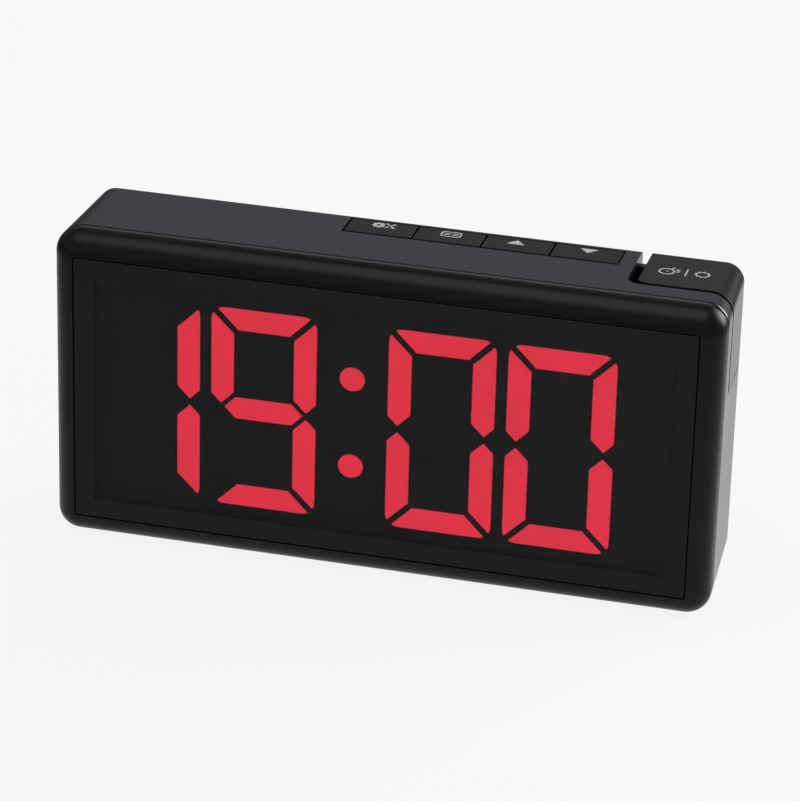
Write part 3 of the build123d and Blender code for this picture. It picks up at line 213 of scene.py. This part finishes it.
def grained_plastic(name, colour, roughness, gloss):
    """Moulded plastic with a fine spark-eroded grain, edges lightened as wear and painted highlight,
    and painted shade in its seams.
    """
    finish = new_finish(name)
    grain = finish.noise(0.22 * MM, 3.0, 0.6)
    drift = finish.noise(18 * MM, 2.0)
    # Painted light: convex edges are lightened, partly as wear and partly as painted highlight, and
    # seams and gaps get painted shade.
    edge = finish.edge_wear_and_highlight(0.35 * MM)
    seam_shade = finish.crevice(SEAM_WIDTH)
    darker = shaded(colour, 0.82)
    lighter = shaded(colour, 1.6)
    mottled = finish.blend(drift * 0.6 + grain * 0.4, darker, colour)
    worn_and_highlit = finish.blend(edge * 0.4, mottled, lighter)
    return finish.surface(
        Base_Color=finish.blend(seam_shade, worn_and_highlit, SEAM_SHADE_COLOUR),
        Roughness=roughness + (grain - 0.5) * 0.1 + (drift - 0.5) * 0.05 - edge * 0.05 + seam_shade * 0.4,
        Specular_IOR_Level=gloss,
        Normal=finish.bump(grain, 0.012 * MM, 0.35),
    )


def satin_plastic():
    """The front frame: smoother than the casing, with faint flow marks."""
    finish = new_finish("satin_plastic")
    flow = finish.stretched_noise(3 * MM, (0.15, 1.0, 1.0))
    fine = finish.noise(0.12 * MM, 2.0, 0.5)
    # Painted light: convex edges are lightened, partly as wear and partly as painted highlight, and
    # seams and gaps get painted shade.
    edge = finish.edge_wear_and_highlight(0.3 * MM)
    seam_shade = finish.crevice(SEAM_WIDTH)
    shade = finish.blend(flow, (0.0036, 0.0036, 0.0037), (0.0048, 0.0048, 0.0049))
    worn_and_highlit = finish.blend(edge * 0.3, shade, (0.009, 0.009, 0.0092))
    return finish.surface(
        Base_Color=finish.blend(seam_shade, worn_and_highlit, SEAM_SHADE_COLOUR),
        Roughness=0.34 + (flow - 0.5) * 0.05 + (fine - 0.5) * 0.04 + seam_shade * 0.4,
        Specular_IOR_Level=0.15,
        Normal=finish.bump(fine * 0.6 + flow * 0.4, 0.006 * MM, 0.3),
    )


def smoked_acrylic():
    """The display's dark clear panel, polished, printed black behind its edges."""
    finish = new_finish("smoked_acrylic")
    peel = finish.noise(6 * MM, 1.0)
    haze = finish.noise(0.6 * MM, 3.0)
    # Painted shade: the panel's colour darkens in the gap round its edges.
    seam_shade = finish.crevice(SEAM_WIDTH)
    low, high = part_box("display_panel")
    across = finish.part_of(finish.coordinates(), "X")
    up = finish.part_of(finish.coordinates(), "Z")
    from_side = (across - low.x).at_most(high.x - across)
    from_edge = (up - low.z).at_most(high.z - up).at_most(from_side)
    behind = finish.part_of(finish.coordinates(), "Y") - low.y
    inset = from_edge + behind * BORDER_SLOPE
    clear = inset.between(PRINTED_BORDER, PRINTED_BORDER + BORDER_EDGE)
    tint = finish.blend(haze, (0.0028, 0.0028, 0.003), (0.0038, 0.0038, 0.004))
    shade = finish.blend(clear, tint, (0.0198, 0.0198, 0.02))
    return finish.surface(
        Base_Color=finish.blend(seam_shade, shade, SEAM_SHADE_COLOUR),
        Roughness=0.12 + haze * 0.04 + peel * 0.03 + seam_shade * 0.4,
        Specular_IOR_Level=0.15,
        Alpha=1.0 - clear * (1.0 - PANEL_TINT),
        Normal=finish.bump(peel, 0.01 * MM, 0.3),
    )


def print_ink():
    """Pale grey pad-printed ink."""
    finish = new_finish("print_ink")
    speckle = finish.noise(0.12 * MM, 3.0)
    return finish.surface(
        Base_Color=finish.blend(speckle, (0.38, 0.38, 0.39), (0.5, 0.5, 0.51)),
        Roughness=0.55 + speckle * 0.15,
        Specular_IOR_Level=0.3,
    )


def foot_rubber():
    finish = new_finish("foot_rubber")
    crumb = finish.noise(0.3 * MM, 4.0, 0.7)
    dust = finish.noise(4 * MM, 3.0).between(0.5, 0.8)
    return finish.surface(
        Base_Color=finish.blend(dust * 0.6, (0.012, 0.012, 0.012), (0.05, 0.048, 0.045)),
        Roughness=0.75 + crumb * 0.2,
        Specular_IOR_Level=0.25,
        Normal=finish.bump(crumb, 0.03 * MM, 0.6),
    )


# ---- finishes of the display --------------------------------------------------------------
def mask_plastic():
    finish = new_finish("mask_plastic")
    grain = finish.noise(0.5 * MM, 3.0)
    return finish.surface(
        Base_Color=finish.blend(grain, (0.02, 0.02, 0.02), (0.026, 0.026, 0.026)),
        Roughness=0.6 + grain * 0.2,
        Specular_IOR_Level=0.1,
        Normal=finish.bump(grain, 0.01 * MM, 0.4),
    )


def lit_bar():
    """Diffusing red plastic with a chip glowing behind it."""
    finish = new_finish("lit_bar")
    cloud = finish.noise(7 * MM, 2.0).between(0.3, 0.7)
    speckle = finish.noise(0.8 * MM, 2.0)
    return finish.surface(
        Base_Color=finish.blend(speckle, (0.2, 0.01, 0.02), (0.24, 0.014, 0.025)),
        Roughness=0.45 + speckle * 0.1,
        Specular_IOR_Level=0.1,
        Emission_Color=finish.blend(
            cloud * 0.8 + speckle * 0.2, (0.86, 0.036, 0.064), (0.94, 0.032, 0.072)
        ),
        Emission_Strength=2.05,
    )


def dark_bar():
    """The same plastic where the chip behind it is off, seen as black."""
    finish = new_finish("dark_bar")
    cloud = finish.noise(5 * MM, 2.0)
    return finish.surface(
        Base_Color=finish.blend(cloud, (0.021, 0.02, 0.02), (0.026, 0.025, 0.025)),
        Roughness=0.55 + cloud * 0.1,
        Specular_IOR_Level=0.1,
    )


# ---- finishes of the inside ---------------------------------------------------------------
def circuit_board():
    """Green solder mask over copper tracks on a woven core."""
    finish = new_finish("circuit_board")
    tracks = finish.cell_borders(2.6 * MM).between(0.06, 0.1)
    weave = finish.noise(0.4 * MM, 1.0)
    mask = finish.blend(weave, (0.006, 0.06, 0.022), (0.009, 0.085, 0.03))
    return finish.surface(
        Base_Color=finish.blend(tracks, (0.016, 0.13, 0.045), mask),
        Roughness=0.35 + weave * 0.15,
        Normal=finish.bump(tracks * -1.0 + weave * 0.1, 0.03 * MM, 0.6),
    )


def epoxy(name, colour, roughness):
    """Moulded epoxy or phenolic, with a fine matt grain."""
    finish = new_finish(name)
    grain = finish.noise(0.15 * MM, 3.0, 0.7)
    dull = shaded(colour, 0.8)
    return finish.surface(
        Base_Color=finish.blend(grain, dull, colour),
        Roughness=roughness + grain * 0.15,
        Specular_IOR_Level=0.35,
        Normal=finish.bump(grain, 0.01 * MM, 0.4),
    )


def turned_metal(name, colour, roughness, stretch):
    """Plated or drawn metal, with brushing along one direction."""
    finish = new_finish(name)
    brushing = finish.stretched_noise(0.15 * MM, stretch)
    stain = finish.noise(2.5 * MM, 3.0)
    edge = finish.edge_wear_and_highlight(0.2 * MM)
    dull = shaded(colour, 0.75)
    bright = shaded(colour, 1.3)
    return finish.surface(
        Base_Color=finish.blend(edge * 0.7, finish.blend(stain, dull, colour), bright),
        Metallic=1.0,
        Roughness=roughness + (brushing - 0.5) * 0.15 + stain * 0.08,
        Normal=finish.bump(brushing, 0.006 * MM, 0.4),
    )


def clear_glass(name, tint, alpha):
    """A coated lens or a liquid crystal cell."""
    finish = new_finish(name)
    haze = finish.noise(1.5 * MM, 2.0)
    return finish.surface(
        Base_Color=finish.blend(haze, tint, shaded(tint, 0.9)),
        Roughness=0.04 + haze * 0.03,
        Alpha=alpha + haze * 0.04,
        Specular_IOR_Level=0.7,
        Coat_Weight=0.4 + haze * 0.1,
        Coat_Tint=(0.6, 0.5, 1.0, 1.0),
    )


def vinyl(name, colour):
    finish = new_finish(name)
    ripple = finish.noise(1.2 * MM, 2.0)
    darker = shaded(colour, 0.85)
    return finish.surface(
        Base_Color=finish.blend(ripple, darker, colour),
        Roughness=0.42 + ripple * 0.12,
        Normal=finish.bump(ripple, 0.02 * MM, 0.3),
    )


def paper_cone():
    finish = new_finish("speaker_cone")
    fibre = finish.stretched_noise(0.3 * MM, (1.0, 1.0, 0.3), 4.0)
    return finish.surface(
        Base_Color=finish.blend(fibre, (0.01, 0.01, 0.011), (0.02, 0.02, 0.021)),
        Roughness=0.7 + fibre * 0.2,
        Normal=finish.bump(fibre, 0.03 * MM, 0.5),
    )


ALONG_X = (0.1, 1.0, 1.0)
ALONG_Y = (1.0, 0.1, 1.0)
ALONG_Z = (1.0, 1.0, 0.1)

casing = grained_plastic("casing_plastic", (0.0105, 0.01, 0.013), 0.25, 0.32)
head_casing = grained_plastic("head_plastic", (0.0058, 0.0055, 0.0064), 0.25, 0.17)
key_plastic = grained_plastic("key_plastic", (0.006, 0.0057, 0.0068), 0.27, 0.15)
bezel = satin_plastic()
board = circuit_board()
screw_zinc = turned_metal("screw_zinc", (0.09, 0.09, 0.095), 0.38, ALONG_X)
nickel = turned_metal("contact_nickel", (0.62, 0.6, 0.55), 0.22, ALONG_Y)
steel = turned_metal("drawn_steel", (0.55, 0.55, 0.57), 0.25, ALONG_X)
black_epoxy = epoxy("black_epoxy", (0.018, 0.018, 0.019), 0.5)
black_holder = epoxy("holder_plastic", (0.012, 0.012, 0.012), 0.42)
white_acetal = epoxy("white_acetal", (0.68, 0.67, 0.63), 0.35)
lens = clear_glass("coated_lens", (0.55, 0.6, 0.75), 0.35)
grey_vinyl = vinyl("cable_vinyl", (0.3, 0.3, 0.31))
lit = lit_bar()

FINISH_OF = {
    "front_bezel": bezel,
    "display_panel": smoked_acrylic(),
    "main_housing": casing,
    "rear_cover": casing,
    "battery_door": casing,
    "head_shell": head_casing,
    "head_rear": head_casing,
    "set_key": key_plastic,
    "display_key": key_plastic,
    "up_key": key_plastic,
    "down_key": key_plastic,
    "rubber_feet": foot_rubber(),
    "housing_screws": screw_zinc,
    "head_screws": screw_zinc,
    "display_screws": screw_zinc,
    "board_screws": screw_zinc,
    "key_board_screws": screw_zinc,
    "segment_mask": mask_plastic(),
    "lit_segments": lit,
    "colon_dots": lit,
    "unlit_segments": dark_bar(),
    "display_board": board,
    "main_board": board,
    "key_board": board,
    "lamp_board": board,
    "segment_leds": epoxy("chip_resin", (0.75, 0.68, 0.45), 0.3),
    "clock_chip": black_epoxy,
    "key_switches": black_epoxy,
    "dc_inlet": black_epoxy,
    "crystal_can": steel,
    "hinge_pin": steel,
    "friction_washer": steel,
    "coin_cell": turned_metal("cell_steel", (0.66, 0.66, 0.67), 0.2, ALONG_Z),
    "hinge_trunnion": nickel,
    "cell_contact_minus": nickel,
    "cell_contact_plus": nickel,
    "inlet_contact": nickel,
    "set_plunger": white_acetal,
    "display_plunger": white_acetal,
    "up_plunger": white_acetal,
    "down_plunger": white_acetal,
    "focus_ring": black_holder,
    "lens_cell": black_holder,
    "optics_holder": black_holder,
    "projection_lens": lens,
    "condenser_lens": lens,
    "time_slide": clear_glass("slide_glass", (0.12, 0.13, 0.12), 0.8),
    "projection_lamp": clear_glass("lamp_resin", (0.7, 0.25, 0.25), 0.6),
    "touch_foil": turned_metal("copper_foil", (0.75, 0.36, 0.2), 0.3, ALONG_X),
    "ribbon_cable": grey_vinyl,
    "head_cable": grey_vinyl,
    "speaker": paper_cone(),
}

for name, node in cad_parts.items():
    for slot in node.material_slots:
        slot.material = FINISH_OF[name]


# ---- printed marks ------------------------------------------------------------------------
INK_PROUD = 0.025 * MM
INK_SUNK = 0.02 * MM
TOP_FALL = 1.5 * MM  # how far a node's sloping top falls from front to back at most


def circle(x, y, radius, steps=40, start=0.0, end=360.0):
    """Points of a circle or an arc, in millimetres."""
    whole = end - start >= 360
    count = steps if whole else steps + 1
    angles = [math.radians(start + (end - start) * index / steps) for index in range(count)]
    return [(x + radius * math.cos(angle), y + radius * math.sin(angle)) for angle in angles]


def rounded_box(x, y, width, height, radius):
    points = []
    for turn, (side, up) in enumerate(((1, 1), (-1, 1), (-1, -1), (1, -1))):
        middle = (x + side * (width / 2 - radius), y + up * (height / 2 - radius))
        points += circle(*middle, radius, 6, 90 * turn, 90 * turn + 90)
    return points


def gear_outline(x, y, radius, root, teeth):
    points = []
    for index in range(teeth * 4):
        middle = 2 * math.pi * (index + 0.5) / (teeth * 4)
        reach = radius if index % 4 in (0, 1) else root
        points.append((x + reach * math.cos(middle), y + reach * math.sin(middle)))
    return points


def stroke(start, end, width):
    """A straight line of a width, as four points."""
    along = (Vector(end) - Vector(start)).normalized() * width / 2
    across = Vector((-along.y, along.x))
    places = ((start, 1), (start, -1), (end, -1), (end, 1))
    return [tuple(Vector(point) + across * side) for point, side in places]


def bent_stroke(points, width):
    """A line with corners, as one outline with mitred joints."""
    path = [Vector(point) for point in points]
    left, right = [], []
    for index, point in enumerate(path):
        before = path[index] - path[index - 1] if index else path[1] - path[0]
        after = path[index + 1] - path[index] if index + 1 < len(path) else before
        first = Vector((-before.y, before.x)).normalized()
        second = Vector((-after.y, after.x)).normalized()
        mitre = (first + second).normalized()
        reach = width / 2 / max(mitre.dot(first), 0.3)
        left.append(tuple(point + mitre * reach))
        right.append(tuple(point - mitre * reach))
    return left + right[::-1]


def top_of(node):
    """A point on a node's almost flat top, and its normal."""
    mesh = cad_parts[node].data
    top = [face for face in mesh.polygons if face.normal.z > 0.995]
    highest = max(face.center.z for face in top)
    top = [face for face in top if face.center.z > highest - TOP_FALL]
    largest = max(top, key=lambda face: face.area)
    return largest.center.copy(), largest.normal.copy()


def marks(name, body, finish, fills, bands, place):
    """A thin mesh of flat marks: filled outlines, and bands between two outlines of as many points."""
    mesh = bmesh.new()
    for outline in fills:
        add_prism(mesh, [outline])
    for outer, inner in bands:
        add_prism(mesh, [outer, inner])
    bmesh.ops.recalc_face_normals(mesh, faces=mesh.faces)
    mesh.transform(place)
    data = bpy.data.meshes.new(name)
    mesh.to_mesh(data)
    mesh.free()
    piece = bpy.data.objects.new(name, data)
    bpy.context.scene.collection.objects.link(piece)
    data.materials.append(finish)
    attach(piece, body)


def add_prism(mesh, outlines):
    """Adds a filled outline, or the band between an outer and an inner one, as thick as the ink."""
    loops = []
    for outline in outlines:
        low = [mesh.verts.new((x * MM, y * MM, -INK_SUNK)) for x, y in outline]
        high = [mesh.verts.new((x * MM, y * MM, INK_PROUD)) for x, y in outline]
        count = len(outline)
        for index in range(count):
            after = (index + 1) % count
            mesh.faces.new((low[index], low[after], high[after], high[index]))
        loops.append((low, high))
    if len(loops) == 1:
        mesh.faces.new(loops[0][1])
        mesh.faces.new(loops[0][0][::-1])
        return
    (outer_low, outer_high), (inner_low, inner_high) = loops
    count = len(outer_low)
    for index in range(count):
        after = (index + 1) % count
        mesh.faces.new((outer_high[index], outer_high[after], inner_high[after], inner_high[index]))
        mesh.faces.new((outer_low[after], outer_low[index], inner_low[index], inner_low[after]))


def on_top(node, x, y):
    """A place on a node's sloping top over a point in metres, with the mark's own Y to the rear."""
    point, normal = top_of(node)
    z = point.z - (normal.x * (x - point.x) + normal.y * (y - point.y)) / normal.z
    across = Vector((1, 0, 0))
    rearward = normal.cross(across).normalized()
    return Matrix.Translation((x, y, z)) @ Matrix((across, rearward, normal)).transposed().to_4x4()


ink = print_ink()
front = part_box("front_bezel")[0].y


def put_marks(name, node, body, x, depth, fills, bands=()):
    """Marks drawn round a point of a node's top: x and depth behind the front, in millimetres."""
    place = on_top(node, x * MM, front + depth * MM)
    marks(name, body, ink, fills, bands, place)


def tool_marks():
    """A gear beside a crossed screwdriver and spanner."""
    gear = gear_outline(-1.5, 0, 1.7, 1.38, 8)
    hub = circle(-1.5, 0, 0.52, len(gear))
    blade = bent_stroke([(0.1, 1.6), (0.5, 1.15), (1.5, 0.0)], 0.32)
    handle = stroke((1.6, -0.1), (2.6, -1.45), 0.62)
    fork_left = bent_stroke([(2.1, 1.65), (2.05, 1.1), (1.8, 0.8), (1.65, 0.45)], 0.34)
    fork_right = bent_stroke([(2.8, 1.35), (2.35, 0.9), (2.1, 0.72)], 0.3)
    shank = stroke((1.1, -0.35), (0.3, -1.45), 0.42)
    fills = [blade, handle, fork_left, fork_right, shank]
    put_marks("set_key_mark", "set_key", "set_key", -7.25, 31.4, fills, [(gear, hub)])


def screen_marks():
    """A small display with four digits."""
    frame_outer = rounded_box(0, 0, 5.1, 3.5, 1.0)
    frame_inner = rounded_box(0, 0, 4.3, 2.7, 0.65)
    digits = []
    for x in (-1.4, -0.7, 0.7, 1.4):
        digits.append((rounded_box(x, 0, 0.6, 1.3, 0.12), rounded_box(x, 0, 0.26, 0.9, 0.06)))
    dots = [circle(0, y, 0.15, 12) for y in (-0.3, 0.3)]
    bands = [(frame_outer, frame_inner)] + digits
    put_marks("display_key_mark", "display_key", "display_key", 9.55, 30.9, dots, bands)


def arrow_marks(key, x, up):
    width, height = 4.4, 2.8
    points = [(-width / 2, -up * height / 2), (width / 2, -up * height / 2), (0, up * height / 2)]
    put_marks(key + "_mark", key, key, x, 31.0, [points])


def alarm_clock():
    """A round clock face with a bell, and two small letters Z beside it, drawn round its middle."""
    bands = [(circle(0, 0, 2.0), circle(0, 0, 1.58))]
    fills = [bent_stroke([(0, 0.75), (0, 0), (0.5, 0)], 0.2), stroke((0.95, 2.0), (1.7, 2.75), 0.45)]
    for left, low, size in ((2.35, 0.1, 0.72), (2.15, 1.2, 0.72)):
        corners = [(0, size), (size, size), (0, 0), (size, 0)]
        fills.append(bent_stroke([(left + x, low + y) for x, y in corners], 0.2))
    return fills, bands


def sun(x, y):
    bands = [(circle(x, y, 1.68), circle(x, y, 1.32))]
    rays = []
    for index in range(10):
        angle = math.pi / 5 * (index + 0.4)
        across, up = math.cos(angle), math.sin(angle)
        start, end = [(x + reach * across, y + reach * up) for reach in (1.6, 2.1)]
        rays.append(stroke(start, end, 0.3))
    return rays, bands


def head_marks():
    """Snooze and light marks on the touch field of the head, with a line between them."""
    clock_fills, clock_bands = alarm_clock()
    sun_fills, sun_bands = sun(8.6, 0.45)
    bar = stroke((4.7, -1.75), (4.7, 2.7), 0.36)
    fills = clock_fills + sun_fills + [bar]
    bands = clock_bands + sun_bands
    put_marks("head_mark", "head_shell", "projector_head", 64.0, 24.1, fills, bands)


tool_marks()
screen_marks()
arrow_marks("up_key", 25.8, 1)
arrow_marks("down_key", 43.5, -1)
head_marks()


# ---- studio -------------------------------------------------------------------------------
def seen_or_mirrored(finish):
    """1 for what the eye, a glossy surface or clear plastic sees, and 0 for light."""
    rays = "ShaderNodeLightPath"
    seen = finish.node(rays, {}, {}, "Is Camera Ray")
    mirrored = finish.node(rays, {}, {}, "Is Glossy Ray")
    through = finish.node(rays, {}, {}, "Is Transmission Ray")
    return seen.at_least(mirrored).at_least(through)


def floor_finish():
    """Pale paper with a faint shadow, whose mirror image ends some way from the clock."""
    finish = new_finish("studio_floor")
    cloud = finish.noise(0.5, 2.0)
    shade = finish.blend(cloud, FLOOR_COLOUR, shaded(FLOOR_COLOUR, 1.02))
    paper = finish.node("ShaderNodeBsdfDiffuse", {}, {"Color": shade})
    along = finish.part_of(finish.coordinates(), "X")
    back = finish.part_of(finish.coordinates(), "Y")
    distance = (along * along + back * back) ** 0.5
    direct = finish.node("ShaderNodeLightPath", {}, {}, "Is Camera Ray")
    dim = distance.between(*FLOOR_FADE) * (1.0 - direct)
    pale = finish.node("ShaderNodeEmission", {}, {"Color": rgba(BACKGROUND), "Strength": 1.0})
    dark = finish.node("ShaderNodeEmission", {}, {"Color": rgba(ROOM_LIGHT), "Strength": 1.0})
    glow = finish.node("ShaderNodeMixShader", {}, {0: dim, 1: pale, 2: dark})
    share = seen_or_mirrored(finish) * FLOOR_GLOW
    mixed = finish.node("ShaderNodeMixShader", {}, {0: share, 1: paper, 2: glow})
    return finish.output("ShaderNodeOutputMaterial", mixed)


def make_floor():
    mesh = bmesh.new()
    bmesh.ops.create_grid(mesh, x_segments=2, y_segments=2, size=FLOOR_SIZE / 2)
    data = bpy.data.meshes.new("floor")
    mesh.to_mesh(data)
    mesh.free()
    floor = bpy.data.objects.new("floor", data)
    bpy.context.scene.collection.objects.link(floor)
    data.materials.append(floor_finish())


def make_world():
    """A pale backdrop for the eye; for light, a dim room, paler in front, with a pale wall behind."""
    world = bpy.data.worlds.new("studio")
    bpy.context.scene.world = world
    finish = Finish(world)
    seen = finish.node("ShaderNodeLightPath", {}, {}, "Is Camera Ray")
    direction = finish.node("ShaderNodeTexCoord", {}, {}, "Generated")
    height = finish.part_of(direction, "Z")
    right = finish.part_of(direction, "X")
    wall = height.between(*WALL_LOW) * (1.0 - height.between(*WALL_HIGH))
    wall = wall * (1.0 - right.between(*WALL_RIGHT))
    ahead = finish.part_of(direction, "Y") * -1.0
    front_or_back = finish.blend(ahead.between(*FRONT_REACH), ROOM_LIGHT, FRONT_LIGHT)
    room = finish.blend(wall, front_or_back, WALL_LIGHT)
    colour = finish.blend(seen, room, BACKGROUND)
    finish.output("ShaderNodeOutputWorld", finish.node("ShaderNodeBackground", {}, {"Color": colour}))


def soft_light(name, place, side, power):
    """A square soft box that shines from a place towards the clock."""
    data = bpy.data.lights.new(name, "AREA")
    data.shape = "SQUARE"
    data.size = side
    data.energy = power
    light = bpy.data.objects.new(name, data)
    bpy.context.scene.collection.objects.link(light)
    place = Vector(place)
    light.location = place
    light.rotation_euler = (Vector(LAMP_AIM) - place).to_track_quat("-Z", "Y").to_euler()


def make_camera():
    data = bpy.data.cameras.new("camera")
    data.lens = CAMERA_LENS
    data.sensor_width = 36.0
    data.sensor_fit = "HORIZONTAL"
    data.clip_start = 0.05
    data.clip_end = 50.0
    camera = bpy.data.objects.new("camera", data)
    bpy.context.scene.collection.objects.link(camera)
    camera.location = CAMERA_PLACE
    angles = (CAMERA_TILT, CAMERA_ROLL, CAMERA_TURN)
    camera.rotation_euler = [math.radians(angle) for angle in angles]
    bpy.context.scene.camera = camera


make_floor()
make_world()
soft_light("overhead", **OVERHEAD)
soft_light("right_lamp", **RIGHT_LAMP)
make_camera()
bpy.context.scene.view_settings.view_transform = "Standard"
